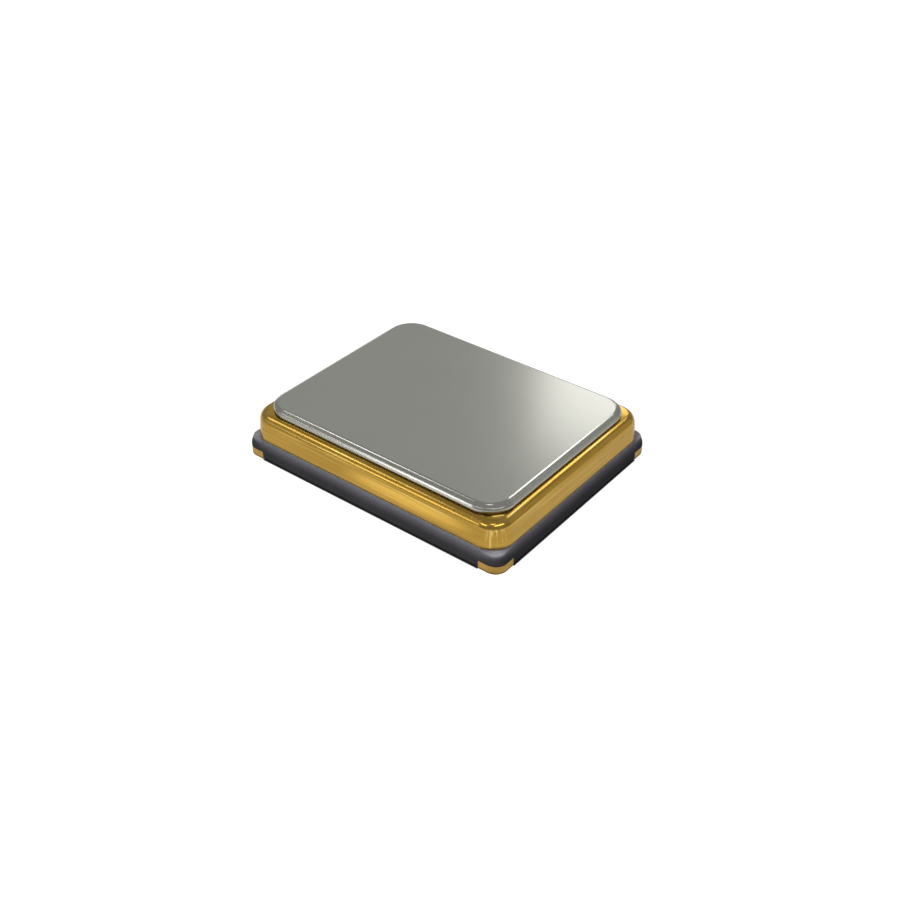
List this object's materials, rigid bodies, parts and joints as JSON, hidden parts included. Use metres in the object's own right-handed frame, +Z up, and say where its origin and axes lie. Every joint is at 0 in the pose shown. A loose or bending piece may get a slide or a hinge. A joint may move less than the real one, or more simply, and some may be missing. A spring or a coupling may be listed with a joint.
{
  "type": "crystal resonator",
  "caption": "Low flat rectangular surface-mount quartz crystal package: dark ceramic base, gold-plated seal ring, rounded silver lid and gold corner terminals.",
  "frame": {"origin": "centre of the package on the plane of the terminals' undersides", "axes": "+X along the package's length, +Y along its width, +Z up, away from the circuit board"},
  "size_m": [0.0024, 0.002, 0.0004],
  "materials": {
    "ceramic": "dark fired alumina, smooth matt with a soft sheen",
    "gold_plate": "gold over nickel plating, satin",
    "lid_metal": "nickel-plated rolled sheet, satin",
    "pad_metal": "gold-plated printed metal, matt",
    "braze_metal": "plated silver-copper braze",
    "quartz": "lapped clear quartz",
    "electrode_metal": "evaporated silver, bright",
    "adhesive": "silver-filled silicone, matt",
    "via_metal": "fired tungsten fill"
  },
  "bodies": {
    "root": {"ceramic_base": "ceramic", "rim_metallisation": "gold_plate", "ring_braze": "braze_metal", "seal_ring": "gold_plate", "lid": "lid_metal", "terminal_1": "gold_plate", "terminal_2": "gold_plate", "terminal_3": "gold_plate", "terminal_4": "gold_plate", "via_input": "via_metal", "via_output": "via_metal", "via_ground_2": "via_metal", "via_ground_4": "via_metal", "input_pad": "pad_metal", "output_pad": "pad_metal", "blank_pillow": "ceramic", "adhesive_input": "adhesive", "adhesive_output": "adhesive", "crystal_blank": "quartz", "upper_electrode": "electrode_metal", "lower_electrode": "electrode_metal"}
  },
  "joints": []
}
